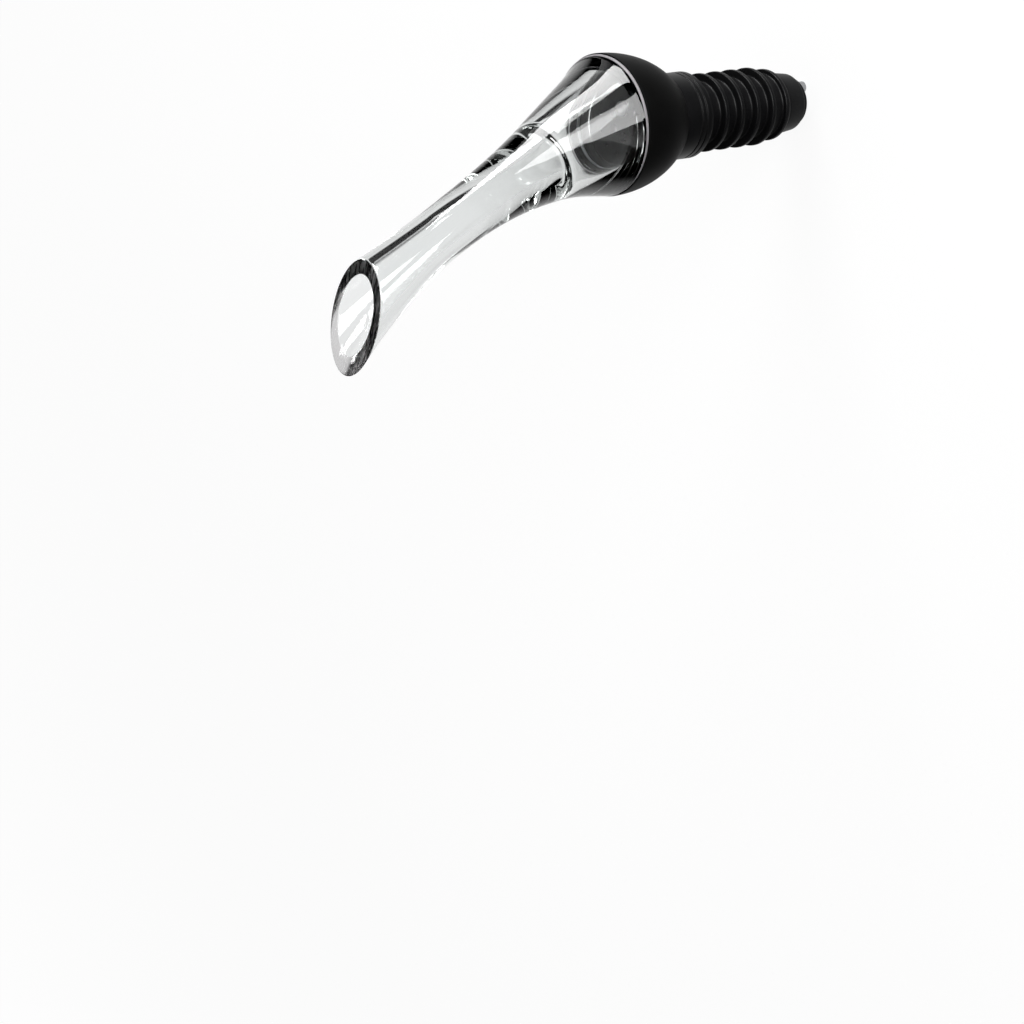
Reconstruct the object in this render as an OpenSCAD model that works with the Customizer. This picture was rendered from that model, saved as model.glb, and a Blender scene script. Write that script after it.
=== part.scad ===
// Wine aerator pourer: a clear bent spout on a black bowl, with a finned rubber stopper under it
// Origin: stopper axis at the underside of its collar. +Z runs up to the bowl, +X is the pouring side

/* [Stopper] */
// Radius over the sealing fins, when nothing squeezes them
seal_r = 10; // [9.5:0.1:10.5]
// Number of sealing fins
fin_count = 5; // [3:1:6]
// Step from one fin to the next
fin_pitch = 5.4; // [4.5:0.1:6.5]
// Width of a fin's outer land
fin_tip = 1.2; // [0.8:0.1:1.8]
// Thickness of a fin where it leaves the core
fin_root = 2.4; // [1.9:0.1:3]
// Radius of the lead fin, which goes in first
lead_r = 9.2; // [8.8:0.1:9.4]
// Radius of the stopper's core between fins
core_r = 8; // [7.6:0.1:8.6]
// Radius of the stopper's nose
nose_r = 7.3; // [7.1:0.1:7.6]
// Length of the nose below the lead fin
nose_len = 6; // [4:0.5:9]
// Radius of the collar, which stays outside and shows
collar_r = 11; // [10.8:0.1:12]
// Height of the collar
collar_h = 8.7; // [7:0.1:11]
// Height of the lowest ring groove above the collar's underside
groove_lift = 1.5; // [1:0.1:2.5]
// Step between the ring grooves
groove_pitch = 1.6; // [1.2:0.1:2]
// Width of a ring groove
groove_w = 0.5; // [0.3:0.1:0.8]
// Depth of a ring groove
groove_d = 0.35; // [0.2:0.05:0.6]

/* [Stem and vent] */
// Outer radius of the hollow stem
stem_r = 6.15; // [5.8:0.05:6.5]
// Radius of the pouring passage in the stem
stem_bore_r = 4.9; // [4.4:0.05:5.1]
// Length of stem that stands out below the stopper
stem_out = 2; // [1:0.5:4]
// Thickness of the stem's top flange
stem_flange_h = 1.5; // [1:0.1:2]
// Width of that flange beyond the stem
stem_flange_w = 2.05; // [1.6:0.05:2.6]
// Outer radius of the vent tube
vent_r = 1.5; // [1.2:0.1:1.7]
// Radius of the vent tube's air passage
vent_bore_r = 1.05; // [0.7:0.05:1.1]
// Length of vent tube that stands out below the stem
vent_out = 4; // [2:0.5:8]
// Height of the head that carries the vent tube
vent_head_h = 0.8; // [0.5:0.1:1.2]
// Width of that head's lip over the plate
vent_head_lip = 0.5; // [0.3:0.1:0.8]

/* [Bowl] */
// Radius of the bowl and of the spout at the rim
bowl_r = 17.9; // [17:0.1:19]
// Height of the bowl from its foot to its rim
bowl_h = 18.5; // [17:0.1:21]
// Radius of the bowl's foot
foot_r = 11.6; // [11:0.1:13]
// Thickness of the bowl's floor
floor_h = 2.5; // [2:0.1:3]
// Width of the rim that carries the spout
rim_w = 2.9; // [2.6:0.1:3.6]
// Width of the air gallery round the funnel
gallery_w = 1.8; // [1.4:0.1:2.2]
// Width of an air slot under the foot
slot_w = 1.8; // [1.2:0.1:2.4]
// Height of an air slot
slot_h = 1; // [0.6:0.1:1.4]
// Radius of the air holes through the floor
floor_hole_r = 0.7; // [0.5:0.05:0.8]

/* [Aerator] */
// Thickness of the aerator plate
plate_h = 2; // [1.5:0.1:2.5]
// Radius of a pouring port
port_r = 1.4; // [1:0.1:1.5]
// Distance of the pouring ports from the axis
port_ring_r = 4.3; // [4:0.1:4.6]
// Radius of an air hole in the plate
air_hole_r = 0.5; // [0.3:0.05:0.7]
// Number of air holes in the plate
air_hole_count = 12; // [6:1:18]
// Height of the funnel
funnel_h = 4.8; // [4.2:0.1:5.4]
// Wall of the funnel
funnel_wall = 1; // [0.8:0.1:1.2]
// Width of the seat under the sediment screen
screen_seat_w = 0.9; // [0.6:0.1:1.2]
// Thickness of the sediment screen
screen_h = 0.4; // [0.3:0.05:0.6]
// Step of the screen's mesh
mesh_pitch = 1.2; // [1:0.1:1.6]
// Width of the screen's wires
mesh_wire = 0.4; // [0.3:0.05:0.5]
// Height of the ring that holds the screen down
ring_h = 1.2; // [0.9:0.1:1.5]

/* [Seals] */
// Thickness of the flat gaskets
gasket_h = 0.5; // [0.3:0.1:0.8]
// Width of the gasket under the plate
gasket_w = 2.2; // [1.6:0.1:3]
// Section diameter of the spout's seal ring
seal_d = 1.3; // [1:0.1:1.6]

/* [Spout] */
// Wall of the spigot that plugs into the bowl
spigot_wall = 2.3; // [2:0.1:3]
// Height of the true round flange at the rim
flange_h = 1; // [0.6:0.1:1.4]
// Lean of the spout's centreline from the stopper axis, degrees
spout_lean = 20; // [15:0.5:25]
// Straight run of the centreline before it bends
spout_straight = 25; // [15:1:40]
// Radius of the centreline's bend
bend_r = 305; // [200:5:500]
// Distance along the centreline over which the sections turn square to it
tilt_run = 22; // [16:1:30]
// Outer radius at the neck
neck_r = 6.8; // [6:0.1:8]
// Distance of the neck from the rim
neck_at = 58; // [50:1:66]
// How fast the bulb closes to the neck
bulb_curve = 2.4; // [2:0.05:2.8]
// Distance from the rim at which the flare reaches its full radius
flare_at = 100; // [92:1:108]
// Outer radius of the flare there
mouth_r = 11.2; // [9.5:0.1:12.5]
// How fast the flare opens
flare_curve = 1.6; // [1.3:0.05:2]
// Distance along the centreline of the slanted mouth
mouth_at = 88; // [80:0.5:94]
// Rise of the mouth's cut towards the pouring side, degrees
mouth_rise = 14; // [0:1:25]
// Wall of the flare
mouth_wall = 2.8; // [2:0.1:3.2]
// Wall at the neck
neck_wall = 3; // [2.4:0.1:3.4]
// Length of the mixing chamber above the rim
chamber_len = 19.5; // [16:0.5:23]
// Radius to which the chamber's cone narrows at its end
chamber_end_r = 7.2; // [6.4:0.1:8]
// Length of the chamber's rounded shoulder
shoulder_len = 1.6; // [0.8:0.1:4]
// Radius of the throat
throat_r = 3.5; // [3:0.1:4]
// Widening of the throat where it leaves the chamber
bell_w = 0.8; // [0.4:0.1:1.6]
// Length over which that widening runs out
bell_len = 14; // [8:1:24]

/* [Fits] */
// Gap all round a sliding or turning fit
slide_gap = 0.05; // [0.02:0.01:0.1]
// Gap between the spigot and the plate under it
plate_gap = 0.3; // [0.2:0.05:0.5]
// Gap between the vent tube and the stem's wall
vent_gap = 0.1; // [0.05:0.05:0.2]

/* [Hidden] */
$fn = 96;
black = [0.09, 0.09, 0.1];
rubber_grey = [0.17, 0.17, 0.18];
silicone = [0.55, 0.56, 0.58];
steel = [0.72, 0.73, 0.75];
clear = [0.86, 0.9, 0.92, 0.4];
cut_margin = 1;
// Stopper, from its fins down
groove_count = 2;
fin_edge = 0.3;
lead_top = -fin_count * fin_pitch;
nose_z = lead_top - fin_root - nose_len;
sleeve_bore_r = stem_r + slide_gap;
// Stack inside the bowl, from its floor up
foot_z = collar_h;
rim_z = foot_z + bowl_h;
floor_z = foot_z + floor_h;
stem_flange_z = floor_z + gasket_h;
funnel_z = stem_flange_z + stem_flange_h;
plate_z = funnel_z + funnel_h;
plate_top = plate_z + plate_h;
ledge_z = plate_z - gasket_h;
ring_z = plate_z - ring_h;
screen_z = ring_z - screen_h;
spigot_z = plate_top + plate_gap;
spigot_len = rim_z - spigot_z;
// Radii inside the bowl: spigot and plate follow the rim, funnel and air gallery follow the stem
spigot_r = bowl_r - rim_w;
socket_r = spigot_r + slide_gap;
seat_step = 0.8;
plate_r = spigot_r - seat_step;
plate_seat_r = plate_r + slide_gap;
inner_r = stem_r + stem_flange_w;
cavity_r = inner_r + gallery_w;
gallery_mid_r = cavity_r - gallery_w / 2;
funnel_top_r = inner_r - funnel_wall;
screen_r = funnel_top_r - slide_gap;
screen_open_r = funnel_top_r - screen_seat_w;
chamber_step = 0.2;
chamber_r = spigot_r - spigot_wall - chamber_step;
chamber_lap = 0.5;
// Seal ring and its gland, half way down the spigot
seal_mid_r = spigot_r + slide_gap + seal_d / 2;
gland_r = seal_mid_r + seal_d / 2 + slide_gap;
gland_h = seal_d + 4 * slide_gap;
gland_z = rim_z - spigot_len / 2 - gland_h / 2;
seal_z = gland_z + slide_gap + seal_d / 2;
// Vent tube, beside the pouring passage's wall on the side away from the pour
vent_x = -(stem_bore_r - vent_r - vent_gap);
vent_head_r = vent_r + vent_head_lip;
stem_foot_z = nose_z - stem_out;
vent_foot_z = stem_foot_z - vent_out;
stem_edge = 0.4;
// The pouring ports leave the vent tube's side of the plate free
// The air slots are on the side that is up when pouring
port_angles = [-120, -60, 0, 60, 120];
slot_angles = [155, 180, 205];
// Steps of the curved shapes
bowl_steps = 24;
sides = 36;
outer_rings = 26;
bore_rings = 18;
chamber_rings = 5;
shoulder_rings = 7;
spout_end = mouth_at + 1.8 * mouth_r;
bowl_depth = bowl_h / sqrt(1 - pow(foot_r / bowl_r, 2));
foot_edge = 0.4;

// Outer radius of the bowl at a depth under its rim
function bowl_at(depth) = bowl_r * sqrt(1 - pow(depth / bowl_depth, 2));

// Ease from 0 to 1
function ease(t) = let (u = min(1, max(0, t))) u * u * (3 - 2 * u);

// Turn of the centreline from the stopper axis at a distance along it, degrees
function line_turn(s) = spout_lean + max(0, s - spout_straight) / bend_r * 180 / PI;

// Centreline point, from the rim's centre
function line_x(s) = min(s, spout_straight) * sin(spout_lean)
  + bend_r * (cos(spout_lean) - cos(line_turn(s)));
function line_z(s) = min(s, spout_straight) * cos(spout_lean)
  + bend_r * (sin(line_turn(s)) - sin(spout_lean));

// Tilt of a section: level at the rim, square to the centreline further on
function ring_tilt(s) = line_turn(s) * ease(s / tilt_run);

// Opening of the flare past the neck, 1 where it reaches its full radius
function flare(s) = pow(max(0, s - neck_at) / (flare_at - neck_at), flare_curve);

// Outer radius of the spout along its centreline
function outer_at(s) = neck_r + (bowl_r - neck_r) * pow(max(0, 1 - s / neck_at), bulb_curve)
  + (mouth_r - neck_r) * flare(s);

// Radius of the bore from the throat's bell to the mouth
function bore_at(s) = let (past = s - chamber_len, neck_bore_r = neck_r - neck_wall,
    mouth_bore_r = mouth_r - mouth_wall)
  throat_r + bell_w * pow(max(0, 1 - past / bell_len), 2)
  + (neck_bore_r - throat_r) * ease(past / (neck_at - chamber_len))
  + (mouth_bore_r - neck_bore_r) * flare(s);

// Radius of the mixing chamber: a cone that ends in a rounded shoulder at the throat's bell
function cone_at(s) = chamber_r + (chamber_end_r - chamber_r) * s / chamber_len;
function chamber_at(s) = let (cone_len = chamber_len - shoulder_len, t = max(0, s - cone_len) / shoulder_len,
    bell_r = bore_at(chamber_len))
  s < cone_len ? cone_at(s) : bell_r + (cone_at(cone_len) - bell_r) * sqrt(max(0, 1 - t * t));

// Points of one round section of the spout
function section(s, r) = [for (i = [0 : sides - 1]) let (turn = 360 * i / sides)
  [line_x(s) + r * cos(turn) * cos(ring_tilt(s)), r * sin(turn),
   rim_z + line_z(s) - r * cos(turn) * sin(ring_tilt(s))]];

// Closed skin through a list of sections, each a pair of distance and radius
module skin(stations) {
  last = len(stations) - 1;
  polyhedron(
    points = [for (st = stations) each section(st[0], st[1])],
    faces = concat(
      [[for (i = [0 : sides - 1]) i]],
      [for (k = [0 : last - 1], i = [0 : sides - 1]) let (j = (i + 1) % sides)
        each [[k * sides + i, (k + 1) * sides + i, k * sides + j],
              [k * sides + j, (k + 1) * sides + i, (k + 1) * sides + j]]],
      [[for (i = [sides - 1 : -1 : 0]) last * sides + i]]));
}

// Everything above the mouth's slanted cut
module above_mouth() {
  reach = 4 * bowl_r;
  translate([line_x(mouth_at), 0, rim_z + line_z(mouth_at)])
    rotate([0, -mouth_rise, 0])
      translate([-reach, -reach, 0]) cube([2 * reach, 2 * reach, reach]);
}

// Flat washer
module washer(outer, inner, h) {
  difference() {
    cylinder(r = outer, h = h);
    translate([0, 0, -cut_margin]) cylinder(r = inner, h = h + 2 * cut_margin);
  }
}

// Half outline of one fin, from its top face down to the core
function fin_outline(r, top) = [[core_r, top], [r - fin_edge, top], [r, top - fin_edge / 3],
  [r, top - fin_tip], [core_r, top - fin_root]];

// Outline of the collar's side, grooves from the lowest up
function collar_outline() = [for (i = [groove_count - 1 : -1 : 0]) let (z = groove_lift + i * groove_pitch)
  each [[collar_r, z + groove_w], [collar_r - groove_d, z + groove_w / 2], [collar_r, z]]];

// Rubber stopper: collar, sealing fins, lead fin and nose round the stem's bore
module stopper_sleeve() {
  edge = 0.5;
  color(rubber_grey)
    difference() {
      rotate_extrude() polygon(concat(
        [[0, collar_h], [collar_r - edge, collar_h], [collar_r, collar_h - edge]],
        collar_outline(),
        [[collar_r, 0], [seal_r, 0], [seal_r, -fin_tip], [core_r, -fin_root]],
        [for (i = [1 : fin_count - 1]) each fin_outline(seal_r, -i * fin_pitch)],
        fin_outline(lead_r, lead_top),
        [[core_r, lead_top - fin_root - edge], [nose_r, nose_z], [0, nose_z]]));
      translate([0, 0, nose_z - cut_margin])
        cylinder(r = sleeve_bore_r, h = collar_h - nose_z + 2 * cut_margin);
    }
}

// Hollow stem that carries the stopper, with a flange inside the bowl
module stopper_stem() {
  color(black)
    difference() {
      rotate_extrude() polygon([[0, stem_foot_z], [stem_r - stem_edge, stem_foot_z],
        [stem_r, stem_foot_z + stem_edge], [stem_r, stem_flange_z], [inner_r, stem_flange_z],
        [inner_r, funnel_z], [0, funnel_z]]);
      translate([0, 0, stem_foot_z - cut_margin])
        cylinder(r = stem_bore_r, h = funnel_z - stem_foot_z + 2 * cut_margin);
    }
}

// Flat gasket between the stem's flange and the bowl's floor
module stem_gasket() {
  color(silicone) translate([0, 0, floor_z]) washer(inner_r, stem_r + slide_gap, gasket_h);
}

// Bowl with the spout's socket, the plate's ledge, the air gallery and the air slots under its foot
module base_bowl() {
  outline = [for (i = [0 : bowl_steps]) let (depth = bowl_h * (1 - i / bowl_steps) - (i == 0 ? foot_edge : 0))
    [bowl_at(depth), rim_z - depth]];
  color(black)
    difference() {
      rotate_extrude() polygon(concat([[0, foot_z], [foot_r - foot_edge, foot_z]], outline, [[0, rim_z]]));
      translate([0, 0, foot_z - cut_margin]) cylinder(r = stem_r + slide_gap, h = bowl_h);
      translate([0, 0, floor_z]) cylinder(r = cavity_r, h = bowl_h);
      translate([0, 0, ledge_z]) cylinder(r = plate_seat_r, h = bowl_h);
      translate([0, 0, plate_top]) cylinder(r = socket_r, h = bowl_h);
      translate([0, 0, gland_z]) cylinder(r = gland_r, h = gland_h);
      for (turn = slot_angles) rotate([0, 0, turn]) {
        translate([gallery_mid_r, -slot_w / 2, foot_z - cut_margin])
          cube([bowl_r, slot_w, slot_h + cut_margin]);
        translate([gallery_mid_r, 0, foot_z - cut_margin])
          cylinder(r = floor_hole_r, h = floor_h + 2 * cut_margin);
      }
    }
}

// Funnel that leads what is poured to the plate and keeps it out of the air gallery
module inner_funnel() {
  lip_h = plate_z - screen_z;
  color(black)
    difference() {
      rotate_extrude() polygon([[0, funnel_z], [stem_bore_r + funnel_wall, funnel_z],
        [inner_r, screen_z - funnel_wall], [inner_r, plate_z], [0, plate_z]]);
      rotate_extrude() polygon([[0, funnel_z - cut_margin], [stem_bore_r, funnel_z - cut_margin],
        [stem_bore_r, funnel_z], [screen_open_r, screen_z - funnel_wall],
        [screen_open_r, screen_z + cut_margin], [0, screen_z + cut_margin]]);
      translate([0, 0, screen_z]) cylinder(r = funnel_top_r, h = lip_h + cut_margin);
    }
}

// Stainless mesh disc that holds back sediment
module sediment_screen() {
  hole = mesh_pitch - mesh_wire;
  reach = floor(screen_open_r / mesh_pitch);
  color(steel)
    translate([0, 0, screen_z])
      linear_extrude(screen_h)
        difference() {
          circle(r = screen_r);
          for (ix = [-reach : reach], iy = [-reach : reach])
            if (norm([abs(ix) + 0.5, abs(iy) + 0.5]) * mesh_pitch < screen_open_r
                && norm([ix * mesh_pitch - vent_x, iy * mesh_pitch]) > vent_r + mesh_pitch)
              translate([ix * mesh_pitch, iy * mesh_pitch]) square(hole, center = true);
          translate([vent_x, 0]) circle(r = vent_r + slide_gap);
        }
}

// Ring that holds the screen down on its seat
module screen_ring() {
  color(steel) translate([0, 0, ring_z]) washer(screen_r, screen_open_r, ring_h);
}

// Flat gasket between the bowl's ledge and the aerator plate
module plate_gasket() {
  color(silicone) translate([0, 0, ledge_z]) washer(plate_r, plate_r - gasket_w, gasket_h);
}

// Plate with pouring ports inside the funnel and fine air holes over the gallery
module aerator_plate() {
  through = plate_h + 2 * cut_margin;
  color(black)
    translate([0, 0, plate_z])
      difference() {
        cylinder(r = plate_r, h = plate_h);
        for (turn = port_angles) rotate([0, 0, turn])
          translate([port_ring_r, 0, -cut_margin]) cylinder(r = port_r, h = through);
        for (i = [0 : air_hole_count - 1]) rotate([0, 0, (i + 0.5) * 360 / air_hole_count])
          translate([gallery_mid_r, 0, -cut_margin]) cylinder(r = air_hole_r, h = through);
        translate([vent_x, 0, -cut_margin]) cylinder(r = vent_r + slide_gap, h = through);
      }
}

// Tube that leads air back down through the stem, hung by its head from the plate
module vent_tube() {
  color(steel)
    translate([vent_x, 0, 0])
      difference() {
        union() {
          translate([0, 0, vent_foot_z]) cylinder(r = vent_r, h = plate_top + vent_head_h - vent_foot_z);
          translate([0, 0, plate_top]) cylinder(r = vent_head_r, h = vent_head_h);
        }
        translate([0, 0, vent_foot_z - cut_margin])
          cylinder(r = vent_bore_r, h = plate_top + vent_head_h - vent_foot_z + 2 * cut_margin);
      }
}

// Seal ring in the bowl's gland, round the spigot
module spout_seal() {
  color(silicone) rotate_extrude() translate([seal_mid_r, seal_z]) circle(d = seal_d);
}

// Clear spout: spigot, rim flange, bulb with the mixing chamber, throat, bent neck and slanted mouth
module spout() {
  skin_start = flange_h / 2;
  outer = [for (i = [0 : outer_rings]) let (s = skin_start + (spout_end - skin_start) * i / outer_rings)
    [s, outer_at(s)]];
  cone = [for (i = [0 : chamber_rings - 1]) let (s = (chamber_len - shoulder_len) * i / chamber_rings)
    [i == 0 ? -chamber_lap : s, chamber_at(s)]];
  shoulder = [for (i = [0 : shoulder_rings - 1])
    let (s = chamber_len - shoulder_len * cos(90 * i / shoulder_rings)) [s, chamber_at(s)]];
  bore = [for (i = [0 : bore_rings]) let (s = chamber_len + (spout_end - chamber_len) * i / bore_rings)
    [s, bore_at(s)]];
  color(clear)
    difference() {
      union() {
        skin(outer);
        translate([0, 0, rim_z]) cylinder(r = bowl_r, h = flange_h);
        translate([0, 0, spigot_z]) cylinder(r = spigot_r, h = spigot_len + flange_h / 2);
      }
      above_mouth();
      translate([0, 0, spigot_z - cut_margin])
        cylinder(r = chamber_r + chamber_step, h = spigot_len + cut_margin);
      skin(concat(cone, shoulder, bore));
    }
}

stopper_sleeve();
stopper_stem();
stem_gasket();
base_bowl();
inner_funnel();
sediment_screen();
screen_ring();
plate_gasket();
aerator_plate();
vent_tube();
spout_seal();
spout();
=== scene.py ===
import math
import bpy
from mathutils import Matrix, Vector


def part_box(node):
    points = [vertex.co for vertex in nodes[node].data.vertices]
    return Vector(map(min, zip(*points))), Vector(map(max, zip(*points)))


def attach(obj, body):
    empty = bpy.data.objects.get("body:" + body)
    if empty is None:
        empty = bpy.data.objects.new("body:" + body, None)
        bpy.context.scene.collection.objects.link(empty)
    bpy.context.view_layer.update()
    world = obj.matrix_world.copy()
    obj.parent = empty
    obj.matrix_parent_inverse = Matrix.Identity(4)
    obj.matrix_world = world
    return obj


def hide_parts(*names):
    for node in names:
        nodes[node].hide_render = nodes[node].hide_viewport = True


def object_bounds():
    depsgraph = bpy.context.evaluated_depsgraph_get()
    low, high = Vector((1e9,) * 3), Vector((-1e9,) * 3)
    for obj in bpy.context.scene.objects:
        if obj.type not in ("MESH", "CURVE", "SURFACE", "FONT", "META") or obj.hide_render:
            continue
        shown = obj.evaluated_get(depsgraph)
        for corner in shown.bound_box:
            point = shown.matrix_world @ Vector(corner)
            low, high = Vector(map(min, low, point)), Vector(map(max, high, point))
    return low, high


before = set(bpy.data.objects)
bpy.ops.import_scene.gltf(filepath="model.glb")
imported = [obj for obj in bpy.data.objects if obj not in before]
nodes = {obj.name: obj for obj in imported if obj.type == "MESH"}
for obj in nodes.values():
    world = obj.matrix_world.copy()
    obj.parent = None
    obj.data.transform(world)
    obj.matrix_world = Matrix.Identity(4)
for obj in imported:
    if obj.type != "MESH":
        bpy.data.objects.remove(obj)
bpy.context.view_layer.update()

mm = 0.001
sharpAngle = 35  # degrees: an edge that turns by more than this stays sharp
scene = bpy.context.scene
scene.view_settings.view_transform = "Standard"
print("frame loaded with", len(nodes), "nodes")


# small helpers

def hexColour(code):  # sRGB hex to linear, with alpha 1
    parts = [int(code[i:i + 2], 16) / 255 for i in (0, 2, 4)]
    return tuple(p / 12.92 if p <= 0.04045 else ((p + 0.055) / 1.055) ** 2.4 for p in parts) + (1.0,)


def addNode(tree, kind, inputs=None, **settings):  # one shader node; a socket as a value makes a link
    node = tree.nodes.new("ShaderNode" + kind)
    for key, value in settings.items():
        setattr(node, key, value)
    for key, value in (inputs or {}).items():
        if isinstance(value, bpy.types.NodeSocket):
            tree.links.new(value, node.inputs[key])
        else:
            node.inputs[key].default_value = value
    return node


def rampColours(ramp, first, last):  # the two end colours of a colour ramp
    ramp.color_ramp.elements[0].color = hexColour(first)
    ramp.color_ramp.elements[1].color = hexColour(last)


def newMaterial(name):
    mat = bpy.data.materials.new(name)
    mat.use_nodes = True
    mat.node_tree.nodes.clear()
    return mat, mat.node_tree


def perMm(size):  # texture scale that gives features of this size in mm, on coordinates in metres
    return 1.0 / (size * mm)


def ease(t):  # smooth step from 0 to 1
    u = min(1.0, max(0.0, t))
    return u * u * (3 - 2 * u)


def softEdge(before, corner, after, steps=4):  # rounds the corner between two points
    return [before * (1 - t) ** 2 + corner * 2 * t * (1 - t) + after * t * t
            for t in (k / steps for k in range(steps + 1))]


# closed loop of (radius, height) or (radius, height, fillet), in mm, with its fillets drawn
def roundCorners(points, steps=5):
    mostOfEdge = 0.49  # a fillet takes less than half of an edge
    out = []
    count = len(points)
    for i, point in enumerate(points):
        here = Vector(point[:2])
        fillet = point[2] if len(point) > 2 else 0
        if not fillet:
            out.append(here)
            continue
        before = Vector(points[i - 1][:2]) - here
        after = Vector(points[(i + 1) % count][:2]) - here
        cut = min(fillet, before.length * mostOfEdge, after.length * mostOfEdge)
        out += softEdge(here + before.normalized() * cut, here, here + after.normalized() * cut, steps)
    return out


# mesh through rows of points in mm, closed both ways; a band (first, last, finish) takes another finish
def gridMesh(name, rows, sharpFrom=sharpAngle, bands=()):
    rowCount, pointCount = len(rows), len(rows[0])
    faces = []
    for i in range(rowCount):
        j = (i + 1) % rowCount
        for k in range(pointCount):
            n = (k + 1) % pointCount
            faces.append((i * pointCount + k, j * pointCount + k, j * pointCount + n, i * pointCount + n))
    mesh = bpy.data.meshes.new(name)
    mesh.from_pydata([tuple(p * mm) for row in rows for p in row], [], faces)
    mesh.polygons.foreach_set("use_smooth", [True] * len(faces))
    for first, last, finish in bands:
        for i in range(rowCount):
            for k in range(first, last):
                mesh.polygons[i * pointCount + k].material_index = finish
    mesh.set_sharp_from_angle(angle=math.radians(sharpFrom))
    obj = bpy.data.objects.new(name, mesh)
    scene.collection.objects.link(obj)
    return obj


def lathe(name, loop, segments):  # turns a closed half outline, as radius and height, round the Z axis
    rows = []
    for i in range(segments):
        turn = 2 * math.pi * i / segments
        rows.append([Vector((p.x * math.cos(turn), p.x * math.sin(turn), p.y)) for p in loop])
    return gridMesh(name, rows)


def dress(piece, materials, body, replaced):
    for material in materials:
        piece.data.materials.append(material)
    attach(piece, body)
    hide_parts(replaced)


# camera: the rim's place in the picture, and how the stopper's axis lies there
photo = {
    "size": 1024,  # pixels a side
    "rimPixel": (602.6, 125.0),  # centre of the bowl's rim
    "pixelsPerMm": 4.014,  # at the rim
    "distance": 1000,  # mm from the camera to the rim's plane
    "axisDown": 11.35,  # the axis runs left in the picture and down by this, degrees
    "axisTowards": 38.07,  # and towards the camera by this
    "spoutRoll": -12.74,  # turn of the pouring side about that axis
    "sensorWidth": 36,  # mm
    "clipEnd": 50,  # m
}


def makeCamera():
    down, near, roll = (math.radians(photo[k]) for k in ("axisDown", "axisTowards", "spoutRoll"))
    zAxis = Vector((-math.cos(near) * math.cos(down), -math.cos(near) * math.sin(down), math.sin(near)))
    drop = Vector((math.sin(down), -math.cos(down), 0))
    xAxis = drop * math.cos(roll) + zAxis.cross(drop) * math.sin(roll)
    yAxis = zAxis.cross(xAxis)
    toPart = Matrix((xAxis, yAxis, zAxis))  # camera directions to part directions
    rim = Vector((0, 0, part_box("base_bowl")[1].z))
    half = photo["size"] / 2
    offset = Vector(((photo["rimPixel"][0] - half) / photo["pixelsPerMm"],
                     (half - photo["rimPixel"][1]) / photo["pixelsPerMm"], -photo["distance"])) * mm
    data = bpy.data.cameras.new("photoCamera")
    data.sensor_width = photo["sensorWidth"]
    data.lens = data.sensor_width * photo["pixelsPerMm"] * photo["distance"] / photo["size"]
    data.clip_end = photo["clipEnd"]
    cam = bpy.data.objects.new("photoCamera", data)
    cam.matrix_world = Matrix.Translation(rim - toPart @ offset) @ toPart.to_4x4()
    scene.collection.objects.link(cam)
    scene.camera = cam
    return toPart


pictureToPart = makeCamera()
pictureUp = pictureToPart @ Vector((0, 1, 0))
print("camera placed")


# materials

def clearAcrylic():  # PMMA moulded in a polished tool: colourless and bright, greyer where it is thick
    mat, tree = newMaterial("clearAcrylicMoulded")
    place = addNode(tree, "TexCoord")
    flowLean = math.radians(-25)  # faint flow lines along the neck streak what shows through
    along = addNode(tree, "Mapping", {
        "Vector": place.outputs["Object"], "Rotation": (0, flowLean, 0), "Scale": (1.0, 1.0, 0.06)})
    flow = addNode(tree, "TexNoise", {
        "Vector": along.outputs["Vector"], "Scale": perMm(2.2), "Detail": 2.0})
    bump = addNode(tree, "Bump", {"Strength": 0.15, "Distance": 0.03 * mm, "Height": flow.outputs["Fac"]})
    shade = addNode(tree, "BsdfPrincipled", {
        "Base Color": hexColour("fdfefe"), "IOR": 1.491, "Transmission Weight": 1.0, "Roughness": 0.0,
        "Normal": bump.outputs["Normal"]})
    depth = addNode(tree, "VolumeAbsorption", {"Color": hexColour("e3e5e4"), "Density": 65.0})
    addNode(tree, "OutputMaterial", {"Surface": shade.outputs["BSDF"], "Volume": depth.outputs["Volume"]})
    return mat


def cutAcrylic():  # PMMA edge as the tool cut it: hazy, with streaks across it, made coarse enough to show
    mat, tree = newMaterial("clearAcrylicCutEdge")
    place = addNode(tree, "TexCoord")
    streakLean = math.radians(35)
    along = addNode(tree, "Mapping", {
        "Vector": place.outputs["Object"], "Rotation": (0, streakLean, 0), "Scale": (0.12, 1.0, 0.12)})
    streak = addNode(tree, "TexNoise", {
        "Vector": along.outputs["Vector"], "Scale": perMm(0.5), "Detail": 3.0})
    rough = addNode(tree, "MapRange", {
        "Value": streak.outputs["Fac"], "From Min": 0.35, "From Max": 0.65, "To Min": 0.12, "To Max": 0.42})
    bump = addNode(tree, "Bump", {"Strength": 0.3, "Distance": 0.04 * mm, "Height": streak.outputs["Fac"]})
    shade = addNode(tree, "BsdfPrincipled", {
        "Base Color": hexColour("c8c6c7"), "IOR": 1.491, "Transmission Weight": 1.0,
        "Roughness": rough.outputs["Result"], "Normal": bump.outputs["Normal"]})
    addNode(tree, "OutputMaterial", {"Surface": shade.outputs["BSDF"]})
    return mat


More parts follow.
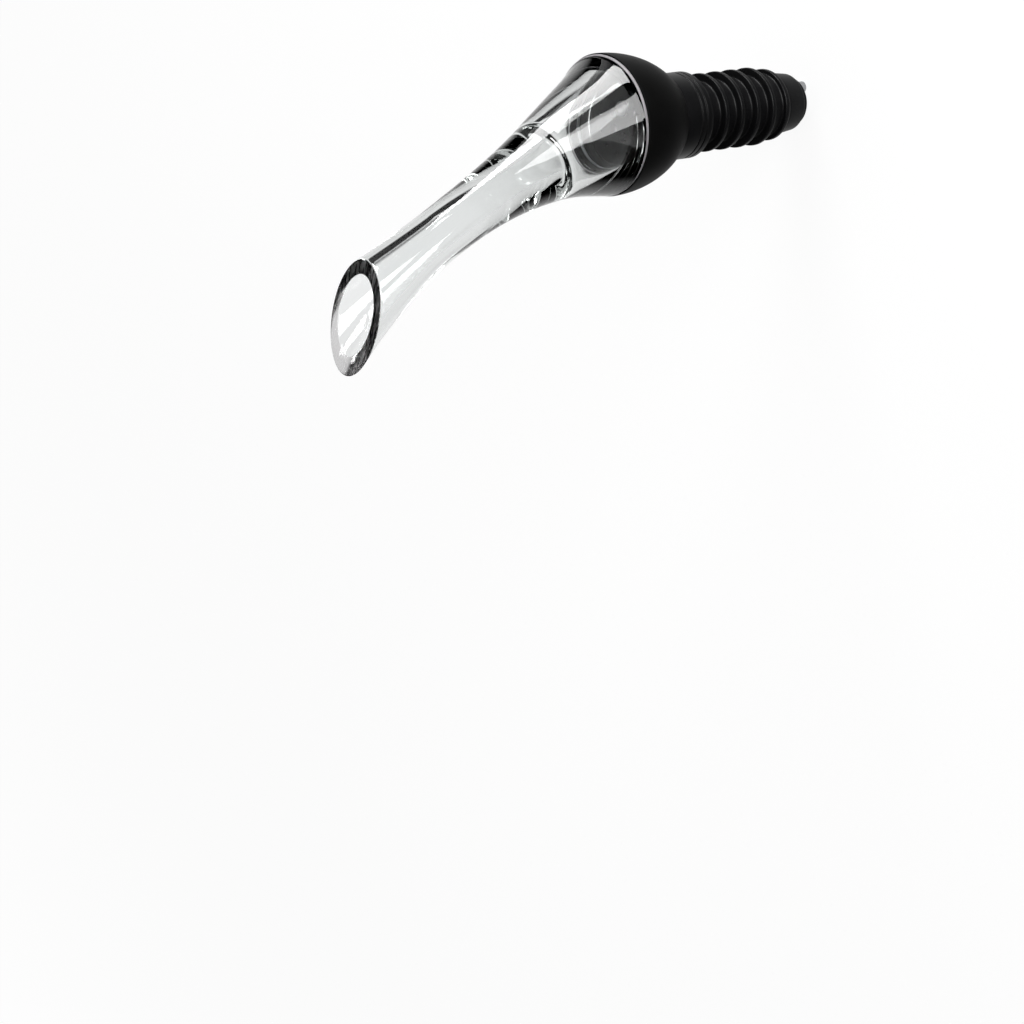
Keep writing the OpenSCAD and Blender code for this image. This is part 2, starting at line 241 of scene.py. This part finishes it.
def rimPaintedHighlight():  # PMMA rim, a little rough, with a pale line where it meets the bowl: a painted highlight, pale grey and partly diffuse, for the light that the clear bead reflects and carries
    mat, tree = newMaterial("clearAcrylicRimPaintedHighlight")
    place = addNode(tree, "TexCoord")
    rimGrain = addNode(tree, "TexNoise", {  # its grain is finer: drawn at 0.8 mm so that it shows
        "Vector": place.outputs["Object"], "Scale": perMm(0.8), "Detail": 4.0})
    # painted highlight: the rim's pale grey line, varied a little by the grain
    tint = addNode(tree, "ValToRGB", {"Fac": rimGrain.outputs["Fac"]})
    rampColours(tint, "a9a5a9", "cfcbcf")
    rough = addNode(tree, "MapRange", {"Value": rimGrain.outputs["Fac"], "To Min": 0.25, "To Max": 0.45})
    shade = addNode(tree, "BsdfPrincipled", {
        "Base Color": tint.outputs["Color"], "IOR": 1.491, "Transmission Weight": 0.65,
        "Roughness": rough.outputs["Result"]})
    addNode(tree, "OutputMaterial", {"Surface": shade.outputs["BSDF"]})
    return mat


def mattBlackAbs():  # ABS moulded in a spark-eroded tool: near black, with a faint wide highlight
    mat, tree = newMaterial("mattBlackAbsMoulded")
    place = addNode(tree, "TexCoord")
    grain = addNode(tree, "TexNoise", {  # its grit is finer: drawn at 0.3 mm so that it shows
        "Vector": place.outputs["Object"], "Scale": perMm(0.3), "Detail": 3.0})
    cloud = addNode(tree, "TexNoise", {
        "Vector": place.outputs["Object"], "Scale": perMm(7), "Detail": 4.0})
    bump = addNode(tree, "Bump", {"Strength": 0.25, "Distance": 0.03 * mm, "Height": grain.outputs["Fac"]})
    tint = addNode(tree, "ValToRGB", {"Fac": cloud.outputs["Fac"]})
    rampColours(tint, "050505", "0a0a0a")
    rough = addNode(tree, "MapRange", {"Value": cloud.outputs["Fac"], "To Min": 0.42, "To Max": 0.58})
    shade = addNode(tree, "BsdfPrincipled", {
        "Base Color": tint.outputs["Color"], "Roughness": rough.outputs["Result"], "IOR": 1.54,
        "Specular IOR Level": 0.05, "Normal": bump.outputs["Normal"]})
    addNode(tree, "OutputMaterial", {"Surface": shade.outputs["BSDF"]})
    return mat


def stopperRubber():  # moulded TPE: near black and dull, with a bloom that lightens it in patches
    mat, tree = newMaterial("stopperRubberMoulded")
    place = addNode(tree, "TexCoord")
    bloom = addNode(tree, "TexNoise", {
        "Vector": place.outputs["Object"], "Scale": perMm(5), "Detail": 5.0})
    skin = addNode(tree, "TexNoise", {  # its grain is finer: drawn at 0.4 mm so that it shows
        "Vector": place.outputs["Object"], "Scale": perMm(0.4), "Detail": 4.0})
    bump = addNode(tree, "Bump", {"Strength": 0.2, "Distance": 0.04 * mm, "Height": skin.outputs["Fac"]})
    tint = addNode(tree, "ValToRGB", {"Fac": bloom.outputs["Fac"]})
    rampColours(tint, "050506", "0b0b0c")
    shade = addNode(tree, "BsdfPrincipled", {
        "Base Color": tint.outputs["Color"], "Roughness": 0.4, "IOR": 1.5, "Specular IOR Level": 0.2,
        "Normal": bump.outputs["Normal"]})
    addNode(tree, "OutputMaterial", {"Surface": shade.outputs["BSDF"]})
    return mat


def satinAbs():  # inner ABS mouldings: black, a little shinier than the bowl
    mat, tree = newMaterial("satinAbsMoulded")
    place = addNode(tree, "TexCoord")
    flow = addNode(tree, "TexNoise", {
        "Vector": place.outputs["Object"], "Scale": perMm(3), "Detail": 4.0})
    rough = addNode(tree, "MapRange", {"Value": flow.outputs["Fac"], "To Min": 0.28, "To Max": 0.4})
    bump = addNode(tree, "Bump", {"Strength": 0.1, "Distance": 0.03 * mm, "Height": flow.outputs["Fac"]})
    shade = addNode(tree, "BsdfPrincipled", {
        "Base Color": hexColour("0c0c0d"), "Roughness": rough.outputs["Result"], "IOR": 1.54,
        "Specular IOR Level": 0.15, "Normal": bump.outputs["Normal"]})
    addNode(tree, "OutputMaterial", {"Surface": shade.outputs["BSDF"]})
    return mat


def drawnSteel():  # stainless drawn through a die: fine lines along the piece, made coarse enough to show
    mat, tree = newMaterial("drawnStainlessSteel")
    place = addNode(tree, "TexCoord")
    stretch = addNode(tree, "Mapping", {"Vector": place.outputs["Object"], "Scale": (1.0, 1.0, 0.03)})
    lines = addNode(tree, "TexNoise", {
        "Vector": stretch.outputs["Vector"], "Scale": perMm(0.12), "Detail": 3.0})
    rough = addNode(tree, "MapRange", {"Value": lines.outputs["Fac"], "To Min": 0.2, "To Max": 0.38})
    bump = addNode(tree, "Bump", {"Strength": 0.15, "Distance": 0.02 * mm, "Height": lines.outputs["Fac"]})
    shade = addNode(tree, "BsdfPrincipled", {
        "Base Color": hexColour("c9cacc"), "Metallic": 1.0, "Roughness": rough.outputs["Result"],
        "Normal": bump.outputs["Normal"]})
    addNode(tree, "OutputMaterial", {"Surface": shade.outputs["BSDF"]})
    return mat


def greySilicone():  # moulded silicone: milky grey, soft sheen
    mat, tree = newMaterial("greySiliconeMoulded")
    place = addNode(tree, "TexCoord")
    milk = addNode(tree, "TexNoise", {
        "Vector": place.outputs["Object"], "Scale": perMm(2), "Detail": 3.0})
    tint = addNode(tree, "ValToRGB", {"Fac": milk.outputs["Fac"]})
    rampColours(tint, "8a8d90", "a6a9ac")
    shade = addNode(tree, "BsdfPrincipled", {
        "Base Color": tint.outputs["Color"], "Roughness": 0.5, "IOR": 1.41})
    addNode(tree, "OutputMaterial", {"Surface": shade.outputs["BSDF"]})
    return mat


acrylic = clearAcrylic()
acrylicEdge = cutAcrylic()
# the rim's material, with its painted highlight
acrylicRimPaintedHighlight = rimPaintedHighlight()
bowlAbs = mattBlackAbs()
rubber = stopperRubber()
innerAbs = satinAbs()
steel = drawnSteel()
silicone = greySilicone()
print("materials made")


# spout: the same centreline and radii as the solid, in mm, with a finer skin
spoutShape = {
    "lean": 20, "straight": 25, "bend": 305,  # centreline: degrees off the axis, straight run, bend radius
    "tiltRun": 22,  # run over which the rings turn square to the centreline
    "rimRadius": 17.9, "bulbCurve": 2.4, "neckRadius": 6.8, "neckAt": 58,  # outside, from bulb to neck
    "flareAt": 100, "mouthRadius": 11.2, "flareCurve": 1.6,  # and on to the mouth
    "mouthAt": 88, "mouthRise": 14,  # where the mouth is cut, and its slant in degrees
    "mouthWall": 2.8, "neckWall": 3.0,
    "chamberLength": 19.5, "chamberRadius": 12.5, "chamberEnd": 7.2,  # mixing chamber
    "shoulderEdge": 2.0, "throatEdge": 1.0,
    "throat": 3.5, "bellWidth": 0.8, "bellLength": 14,  # bore above the chamber
    "spigotRadius": 15, "spigotBore": 12.7, "flangeHeight": 0.75, "flangeRadius": 17.6,
    "boreEdge": 0.3, "spigotEdge": 0.4, "flangeFoot": 0.15, "flangeTop": 0.35,  # soft edges
    "lipEdge": 0.35,
    "skinLift": 0.1,  # from the flange to the first ring of the bulb
    "segments": 160, "outerRings": 110, "boreRings": 80, "chamberSteps": 8, "spigotRings": (0.35, 0.7),
    "sharpAngle": 40,
}
cutFinish, rimHighlightFinish = 1, 2  # places in the spout's list of materials; the second is the rim with its painted highlight


def lineTurn(s):  # lean of the centreline at this run from the rim
    return math.radians(spoutShape["lean"]) + max(0, s - spoutShape["straight"]) / spoutShape["bend"]


def linePoint(s):  # centreline, from the rim's centre, as x and height
    lean = math.radians(spoutShape["lean"])
    run, bend, turn = min(s, spoutShape["straight"]), spoutShape["bend"], lineTurn(s)
    return (run * math.sin(lean) + bend * (math.cos(lean) - math.cos(turn)),
            run * math.cos(lean) + bend * (math.sin(turn) - math.sin(lean)))


def flare(s):  # 0 up to the neck, 1 at the full flare
    p = spoutShape
    return (max(0, s - p["neckAt"]) / (p["flareAt"] - p["neckAt"])) ** p["flareCurve"]


def outerRadius(s):
    p = spoutShape
    bulb = max(0, 1 - s / p["neckAt"]) ** p["bulbCurve"]
    return (p["neckRadius"] + (p["rimRadius"] - p["neckRadius"]) * bulb
            + (p["mouthRadius"] - p["neckRadius"]) * flare(s))


def boreRadius(s):  # from the throat to the mouth
    p = spoutShape
    neckBore = p["neckRadius"] - p["neckWall"]
    past = s - p["chamberLength"]
    bell = p["bellWidth"] * max(0, 1 - past / p["bellLength"]) ** 2
    widen = ease(past / (p["neckAt"] - p["chamberLength"]))
    return (p["throat"] + bell + (neckBore - p["throat"]) * widen
            + (p["mouthRadius"] - p["mouthWall"] - neckBore) * flare(s))


def spoutPoint(s, r, turn, rimZ):  # point of the skin at this run, radius and turn
    x, z = linePoint(s)
    tilt = lineTurn(s) * ease(s / spoutShape["tiltRun"])
    return Vector((x + r * math.cos(turn) * math.cos(tilt), r * math.sin(turn),
                   rimZ + z - r * math.cos(turn) * math.sin(tilt)))


def ringPoint(around, r, z):  # point on a level ring
    return around * r + Vector((0, 0, z))


def mouthDistance(radiusAt, turn, rimZ):  # where a line of the skin meets the slanted mouth
    searchPast, halvings = 15, 40  # mm past the full flare, and how often the stretch is halved
    x, z = linePoint(spoutShape["mouthAt"])
    rise = math.radians(spoutShape["mouthRise"])
    low, high = spoutShape["neckAt"], spoutShape["flareAt"] + searchPast
    for _ in range(halvings):
        mid = (low + high) / 2
        p = spoutPoint(mid, radiusAt(mid), turn, rimZ)
        over = (p.z - rimZ - z) * math.cos(rise) - (p.x - x) * math.sin(rise)
        low, high = (low, mid) if over > 0 else (mid, high)
    return low


# one line of the skin: up the spigot and flange, along the outside, over the lip and down the bore
def spoutRow(turn, rimZ, footZ, chamber, boreStart):
    p = spoutShape
    around = Vector((math.cos(turn), math.sin(turn), 0))
    spigot, flange, flangeZ = p["spigotRadius"], p["flangeRadius"], rimZ + p["flangeHeight"]
    row = [ringPoint(around, p["spigotBore"] + p["boreEdge"], footZ),
           ringPoint(around, spigot - p["spigotEdge"], footZ),
           ringPoint(around, spigot, footZ + p["spigotEdge"])]
    row += [ringPoint(around, spigot, footZ + (rimZ - footZ) * t) for t in p["spigotRings"]]
    row += [ringPoint(around, spigot, rimZ), ringPoint(around, flange - p["flangeFoot"], rimZ)]
    # the flange's rim, from here to its top, takes the painted highlight
    rimHighlightStart = len(row)
    row.append(ringPoint(around, flange, rimZ + p["flangeFoot"]))
    skinStart = p["flangeHeight"] + p["skinLift"]
    bulbFoot = spoutPoint(skinStart, outerRadius(skinStart), turn, rimZ)
    row += softEdge(ringPoint(around, flange, flangeZ - p["flangeTop"]),
                    ringPoint(around, flange, flangeZ), bulbFoot)[:-1]
    rimHighlightEnd = len(row)
    outerEnd = mouthDistance(outerRadius, turn, rimZ)
    boreEnd = mouthDistance(boreRadius, turn, rimZ)
    outerLip = spoutPoint(outerEnd, outerRadius(outerEnd), turn, rimZ)
    boreLip = spoutPoint(boreEnd, boreRadius(boreEnd), turn, rimZ)
    across = (boreLip - outerLip).normalized() * p["lipEdge"]
    last = outerEnd - p["lipEdge"]
    for k in range(p["outerRings"]):
        s = skinStart + (last - skinStart) * k / p["outerRings"]
        row.append(spoutPoint(s, outerRadius(s), turn, rimZ))
    row += softEdge(spoutPoint(last, outerRadius(last), turn, rimZ), outerLip, outerLip + across)
    cutStart = len(row) - 1
    last = boreEnd - p["lipEdge"]
    row += softEdge(boreLip - across, boreLip, spoutPoint(last, boreRadius(last), turn, rimZ))
    for k in range(1, p["boreRings"]):
        s = last + (boreStart - last) * k / p["boreRings"]
        row.append(spoutPoint(s, boreRadius(s), turn, rimZ))
    row += [spoutPoint(c.x, c.y, turn, rimZ) for c in chamber]
    row += [ringPoint(around, p["spigotBore"], rimZ),
            ringPoint(around, p["spigotBore"], footZ + p["boreEdge"])]
    return row, [(rimHighlightStart, rimHighlightEnd, rimHighlightFinish), (cutStart, cutStart + 1, cutFinish)]


def makeSpout():
    p = spoutShape
    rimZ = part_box("base_bowl")[1].z / mm
    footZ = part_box("spout")[0].z / mm
    end, steps = p["chamberLength"], p["chamberSteps"]
    boreStart = end + 2 * p["throatEdge"]
    chamber = roundCorners([(boreStart, boreRadius(boreStart)), (end, boreRadius(end), p["throatEdge"]),
                            (end, p["chamberEnd"], p["shoulderEdge"]), (0, p["chamberRadius"])], steps)
    wall = [chamber[-2].lerp(chamber[-1], k / steps) for k in range(1, steps + 1)]
    chamber = chamber[:-1] + wall
    rows = []
    for i in range(p["segments"]):
        row, bands = spoutRow(2 * math.pi * i / p["segments"], rimZ, footZ, chamber, boreStart)
        rows.append(row)
    return gridMesh("clearSpout", rows, p["sharpAngle"], bands)


spoutPiece = makeSpout()
dress(spoutPiece, [acrylic, acrylicEdge, acrylicRimPaintedHighlight], "spout", "spout")
print("spout made")


# bowl: the solid's outline with a round rim and foot, and the air ways under the foot, in mm
bowlShape = {
    "footRadius": 11.6, "stemHole": 6.2, "cavity": 10,
    "rimEdge": 0.25, "footEdge": 0.5, "stemHoleEdge": 0.2, "socketEdge": 0.3,
    "clearance": 0.05, "sealRoom": 0.15,  # round the pieces that it holds, and above the seal
    "steps": 40, "segments": 192,
    "slotAngles": (155, 180, 205), "slotStart": 9.1, "slotWidth": 1.8, "slotHeight": 1.0, "slotEdge": 0.35,
    "holeRadius": 0.7, "holeSides": 32,
    "overrun": 1,  # how far the cutters reach past the surface
}


def makeBowl():
    p = bowlShape
    low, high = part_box("base_bowl")
    rimRadius, footZ, rimZ = high.x / mm, low.z / mm, high.z / mm
    depthScale = (rimZ - footZ) / math.sqrt(1 - (p["footRadius"] / rimRadius) ** 2)
    stemHole, cavity, clearance = p["stemHole"], p["cavity"], p["clearance"]
    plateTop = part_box("aerator_plate")[1].z / mm
    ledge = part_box("plate_gasket")[0].z / mm
    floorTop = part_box("stem_gasket")[0].z / mm
    sealLow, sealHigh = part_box("spout_seal")
    glandFoot, glandTop = sealLow.z / mm - clearance, sealHigh.z / mm + p["sealRoom"]
    glandRadius = sealHigh.x / mm + clearance
    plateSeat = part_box("aerator_plate")[1].x / mm + clearance
    socket = spoutShape["spigotRadius"] + clearance
    loop = [(stemHole, footZ, p["stemHoleEdge"]), (p["footRadius"], footZ, p["footEdge"])]
    for i in range(1, p["steps"] + 1):
        depth = (rimZ - footZ) * (1 - i / p["steps"])
        loop.append((rimRadius * math.sqrt(1 - (depth / depthScale) ** 2), rimZ - depth))
    loop[-1] = (rimRadius, rimZ, p["rimEdge"])
    loop += [(socket, rimZ, p["socketEdge"]), (socket, glandTop), (glandRadius, glandTop),
             (glandRadius, glandFoot), (socket, glandFoot), (socket, plateTop), (plateSeat, plateTop),
             (plateSeat, ledge), (cavity, ledge), (cavity, floorTop), (stemHole, floorTop)]
    return lathe("blackBowl", roundCorners(loop), p["segments"])


def sweptCutter(outline, path):  # closed outline carried along a straight path, with both ends capped
    count = len(outline)
    points = [p + path * t for t in (0, 1) for p in outline]
    faces = [(i, (i + 1) % count, count + (i + 1) % count, count + i) for i in range(count)]
    faces += [tuple(range(count - 1, -1, -1)), tuple(range(count, 2 * count))]
    return [tuple(p * mm) for p in points], faces


def cutAway(piece, cutters):  # takes the cutters out of the piece one by one
    for points, faces in cutters:
        mesh = bpy.data.meshes.new("cutter")
        mesh.from_pydata(points, [], faces)
        tool = bpy.data.objects.new("cutter", mesh)
        scene.collection.objects.link(tool)
        cut = piece.modifiers.new("airWay", "BOOLEAN")
        cut.operation = "DIFFERENCE"
        cut.solver = "EXACT"
        cut.object = tool
        whole = bpy.data.meshes.new_from_object(piece.evaluated_get(bpy.context.evaluated_depsgraph_get()))
        piece.modifiers.clear()
        piece.data = whole
        bpy.data.objects.remove(tool)
    piece.data.set_sharp_from_angle(angle=math.radians(sharpAngle))


def airWays():  # three slots that open at the foot, each with a hole up through the floor
    p = bowlShape
    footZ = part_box("base_bowl")[0].z / mm
    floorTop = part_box("stem_gasket")[0].z / mm
    half, top, start, overrun = p["slotWidth"] / 2, p["slotHeight"], p["slotStart"], p["overrun"]
    profile = roundCorners([(-half, -overrun), (half, -overrun),
                            (half, top, p["slotEdge"]), (-half, top, p["slotEdge"])])
    circle = []
    for i in range(p["holeSides"]):
        way = 2 * math.pi * i / p["holeSides"]
        circle.append((start + p["holeRadius"] * math.cos(way), p["holeRadius"] * math.sin(way)))
    cutters = []
    for angle in p["slotAngles"]:
        turn = Matrix.Rotation(math.radians(angle), 3, "Z")
        slot = [turn @ Vector((start, c.x, footZ + c.y)) for c in profile]
        cutters.append(sweptCutter(slot, turn @ Vector((start, 0, 0))))  # out past the foot
        hole = [turn @ Vector((x, y, footZ - overrun)) for x, y in circle]
        cutters.append(sweptCutter(hole, Vector((0, 0, floorTop - footZ + 2 * overrun))))
    return cutters


bowlPiece = makeBowl()
cutAway(bowlPiece, airWays())
dress(bowlPiece, [bowlAbs], "base", "base_bowl")
print("bowl made")


# stopper: collar with its fine ring lines, fins with round tips, and a nose, in mm
stopperShape = {
    "bore": 6.2, "boreEdge": 0.2, "collarRadius": 11, "collarEdge": 0.6, "collarFoot": 0.35,
    "grooveLift": 1.5, "groovePitch": 1.6, "grooveWidth": 0.5, "grooveDepth": 0.35,  # ring lines
    "grooveEdge": 0.1, "grooveRoot": 0.15,
    "sealRadius": 10, "leadRadius": 9.2, "coreRadius": 8,  # the fins, the lowest one, and the tube between
    "finCount": 5, "finPitch": 5.4, "finTip": 1.2, "finRoot": 2.4,
    "finTopRoot": 0.5, "finTopEdge": 0.35, "finLowEdge": 0.5, "finLowRoot": 0.9,  # their fillets
    "noseRadius": 7.3, "noseLead": 0.5, "noseShoulder": 0.3, "noseEdge": 0.6,
    "segments": 160,
}


def makeStopper():
    p = stopperShape
    low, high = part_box("stopper_sleeve")
    top, nose = high.z / mm, low.z / mm
    bore, collar, core = p["bore"], p["collarRadius"], p["coreRadius"]
    loop = [(bore, top, p["boreEdge"]), (collar, top, p["collarEdge"])]
    for i in (1, 0):  # the upper ring line first
        z = p["grooveLift"] + i * p["groovePitch"]
        loop += [(collar, z + p["grooveWidth"], p["grooveEdge"]),
                 (collar - p["grooveDepth"], z + p["grooveWidth"] / 2, p["grooveRoot"]),
                 (collar, z, p["grooveEdge"])]
    loop += [(collar, 0, p["collarFoot"]), (p["sealRadius"], 0)]
    for i in range(p["finCount"] + 1):
        z = -i * p["finPitch"]
        radius = p["sealRadius"] if i < p["finCount"] else p["leadRadius"]
        if i:
            loop += [(core, z, p["finTopRoot"]), (radius, z, p["finTopEdge"])]
        loop += [(radius, z - p["finTip"], p["finLowEdge"]), (core, z - p["finRoot"], p["finLowRoot"])]
    lastRoot = -p["finCount"] * p["finPitch"] - p["finRoot"]
    loop += [(core, lastRoot - p["noseLead"], p["noseShoulder"]), (p["noseRadius"], nose, p["noseEdge"]),
             (bore, nose, p["boreEdge"])]
    return lathe("rubberStopper", roundCorners(loop), p["segments"])


stopperPiece = makeStopper()
dress(stopperPiece, [rubber], "stopper", "stopper_sleeve")
print("stopper made")


# pieces that stay as the solids are, with their finish
finishes = {
    "stopper_stem": innerAbs, "inner_funnel": innerAbs, "aerator_plate": innerAbs,
    "stem_gasket": silicone, "plate_gasket": silicone, "spout_seal": silicone,
    "sediment_screen": steel, "screen_ring": steel, "vent_tube": steel,
}
for name, material in finishes.items():
    nodes[name].data.materials.clear()
    nodes[name].data.materials.append(material)
print("inner pieces finished")


# floor and world, in m
stageSetup = {
    "floorSide": 40.0, "floorColour": "f6f6f6",
    "glow": 0.9,  # the floor's own white
    "shadowReach": 0.3, "whiteFrom": 0.7,  # shadow shows up to the first, plain white from the second
    "sideFrom": -0.35, "sideTo": -0.08,  # along X, shiny pieces see the floor go from dark to white
    "frontFrom": -0.04, "frontTo": 0.05,  # and along Y from white to dark
    "cardCentre": (-0.28, -0.32), "cardHalf": (0.24, 0.16),  # dark card that gives clear pieces dark edges
    "cardInner": 0.75, "cardOuter": 1.15,  # its soft edge, as shares of its half size
    "horizonColour": "141414", "skyColour": "303030", "skyFrom": 0.9,  # light from the room
    "backdropColour": "ffffff", "ceilingColour": "181818",  # what clear and shiny pieces show of the room
    "backdropTop": 0.05, "ceilingFrom": 0.2,  # like skyFrom, the sine of the angle above the floor
}


# pale paper: the camera sees it white with soft shadow, shiny pieces see it fade to dark near the object,
# and clear pieces show it white but for the card
def floorPaper(low):
    p = stageSetup
    mat, tree = newMaterial("paleFloorPaper")
    path = addNode(tree, "LightPath")
    bounced = addNode(tree, "Math", {
        0: path.outputs["Is Glossy Ray"], 1: path.outputs["Is Transmission Ray"]}, operation="MAXIMUM")
    place = addNode(tree, "NewGeometry")
    along = addNode(tree, "SeparateXYZ", {"Vector": place.outputs["Position"]})
    side = addNode(tree, "MapRange", {
        "Value": along.outputs["X"], "From Min": p["sideFrom"], "From Max": p["sideTo"],
        "To Min": 0.0, "To Max": p["glow"]}, interpolation_type="SMOOTHSTEP")
    front = addNode(tree, "MapRange", {
        "Value": along.outputs["Y"], "From Min": p["frontFrom"], "From Max": p["frontTo"],
        "To Min": 1.0, "To Max": 0.0}, interpolation_type="SMOOTHSTEP")
    mirrored = addNode(tree, "Math", {0: front.outputs[0], 1: side.outputs[0]}, operation="MULTIPLY")
    fromCard = addNode(tree, "VectorMath", {
        0: place.outputs["Position"], 1: (*p["cardCentre"], low)}, operation="SUBTRACT")
    inHalves = addNode(tree, "VectorMath", {
        0: fromCard.outputs[0], 1: (*p["cardHalf"], 1)}, operation="DIVIDE")
    reach = addNode(tree, "VectorMath", {0: inHalves.outputs[0]}, operation="LENGTH")
    through = addNode(tree, "MapRange", {
        "Value": reach.outputs["Value"], "From Min": p["cardInner"], "From Max": p["cardOuter"],
        "To Min": 0.0, "To Max": p["glow"]}, interpolation_type="SMOOTHSTEP")
    level = addNode(tree, "Mix", {
        0: path.outputs["Is Transmission Ray"], 2: mirrored.outputs[0], 3: through.outputs[0]})
    away = addNode(tree, "VectorMath", {0: place.outputs["Position"], 1: (0, 0, low)}, operation="DISTANCE")
    clear = addNode(tree, "MapRange", {
        "Value": away.outputs["Value"], "From Min": p["shadowReach"], "From Max": p["whiteFrom"],
        "To Min": p["glow"], "To Max": 1.0}, interpolation_type="SMOOTHSTEP")
    direct = addNode(tree, "Math", {
        0: path.outputs["Is Camera Ray"], 1: clear.outputs[0]}, operation="MULTIPLY")
    paper = addNode(tree, "BsdfDiffuse", {"Color": hexColour(p["floorColour"])})
    glow = addNode(tree, "Emission", {"Color": hexColour("ffffff"), "Strength": 1.0})
    seen = addNode(tree, "MixShader", {0: direct.outputs[0], 1: paper.outputs[0], 2: glow.outputs[0]})
    card = addNode(tree, "Emission", {"Color": hexColour("ffffff"), "Strength": level.outputs[0]})
    mix = addNode(tree, "MixShader", {0: bounced.outputs[0], 1: seen.outputs[0], 2: card.outputs[0]})
    addNode(tree, "OutputMaterial", {"Surface": mix.outputs[0]})
    return mat


def makeFloor():
    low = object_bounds()[0].z
    half = stageSetup["floorSide"] / 2
    corners = [(-half, -half, low), (half, -half, low), (half, half, low), (-half, half, low)]
    mesh = bpy.data.meshes.new("paleFloor")
    mesh.from_pydata(corners, [], [(0, 1, 2, 3)])
    mesh.materials.append(floorPaper(low))
    floor = bpy.data.objects.new("paleFloor", mesh)
    scene.collection.objects.link(floor)


# lamps: the way to each as right, up and near in the picture; distance and size in m, power in W
lampSetup = {
    "topSoftbox": {"way": (-0.22, 0.92, 0.33), "distance": 0.7, "size": (0.38, 0.35), "power": 6.0},
    "wallSoftbox": {"way": (0.32, 0.33, 0.89), "distance": 1.0, "size": (0.72, 0.68), "power": 13.0},
    "overheadSoftbox": {"way": (-0.77, -0.15, 0.62), "distance": 0.9, "size": (0.8, 0.8), "power": 5.0},
    "bowlSoftbox": {"way": (0.75, 0.65, 0.1), "distance": 0.5, "size": (0.2, 0.2), "power": 3.5},
}
lampTarget = Vector((0.01, 0, 0.04))  # m, inside the bulb


def makeLamps():
    for name, setup in lampSetup.items():
        data = bpy.data.lights.new(name, "AREA")
        data.shape = "RECTANGLE"
        data.size, data.size_y = setup["size"]
        data.energy = setup["power"]
        lamp = bpy.data.objects.new(name, data)
        towards = (pictureToPart @ Vector(setup["way"])).normalized()
        across = towards.cross(pictureUp).normalized() * -1
        upward = towards.cross(across)
        turn = Matrix((across, upward, towards)).transposed()
        lamp.matrix_world = Matrix.Translation(lampTarget + towards * setup["distance"]) @ turn.to_4x4()
        lamp.visible_camera = False
        scene.collection.objects.link(lamp)


# a dim room for diffuse light; shiny and clear pieces show a white backdrop low down and a dark ceiling,
# and the camera sees white
def makeWorld():
    p = stageSetup
    world = bpy.data.worlds.new("studioWorld")
    world.use_nodes = True
    tree = world.node_tree
    tree.nodes.clear()
    place = addNode(tree, "TexCoord")
    height = addNode(tree, "SeparateXYZ", {"Vector": place.outputs["Generated"]})
    tint = addNode(tree, "ValToRGB", {"Fac": height.outputs["Z"]})
    rampColours(tint, p["horizonColour"], p["skyColour"])
    tint.color_ramp.elements[1].position = p["skyFrom"]
    wall = addNode(tree, "ValToRGB", {"Fac": height.outputs["Z"]})
    rampColours(wall, p["backdropColour"], p["ceilingColour"])
    wall.color_ramp.elements[0].position = p["backdropTop"]
    wall.color_ramp.elements[1].position = p["ceilingFrom"]
    path = addNode(tree, "LightPath")
    bounced = addNode(tree, "Math", {
        0: path.outputs["Is Glossy Ray"], 1: path.outputs["Is Transmission Ray"]}, operation="MAXIMUM")
    room = addNode(tree, "Background", {"Color": tint.outputs["Color"], "Strength": 1.0})
    gloss = addNode(tree, "Background", {"Color": wall.outputs["Color"], "Strength": 1.0})
    backdrop = addNode(tree, "Background", {"Color": hexColour(p["backdropColour"]), "Strength": 1.0})
    inGloss = addNode(tree, "MixShader", {0: bounced.outputs[0], 1: room.outputs[0], 2: gloss.outputs[0]})
    shown = addNode(tree, "MixShader", {
        0: path.outputs["Is Camera Ray"], 1: inGloss.outputs[0], 2: backdrop.outputs[0]})
    addNode(tree, "OutputWorld", {"Surface": shown.outputs[0]})
    scene.world = world


makeFloor()
makeLamps()
makeWorld()
print("stage lit")
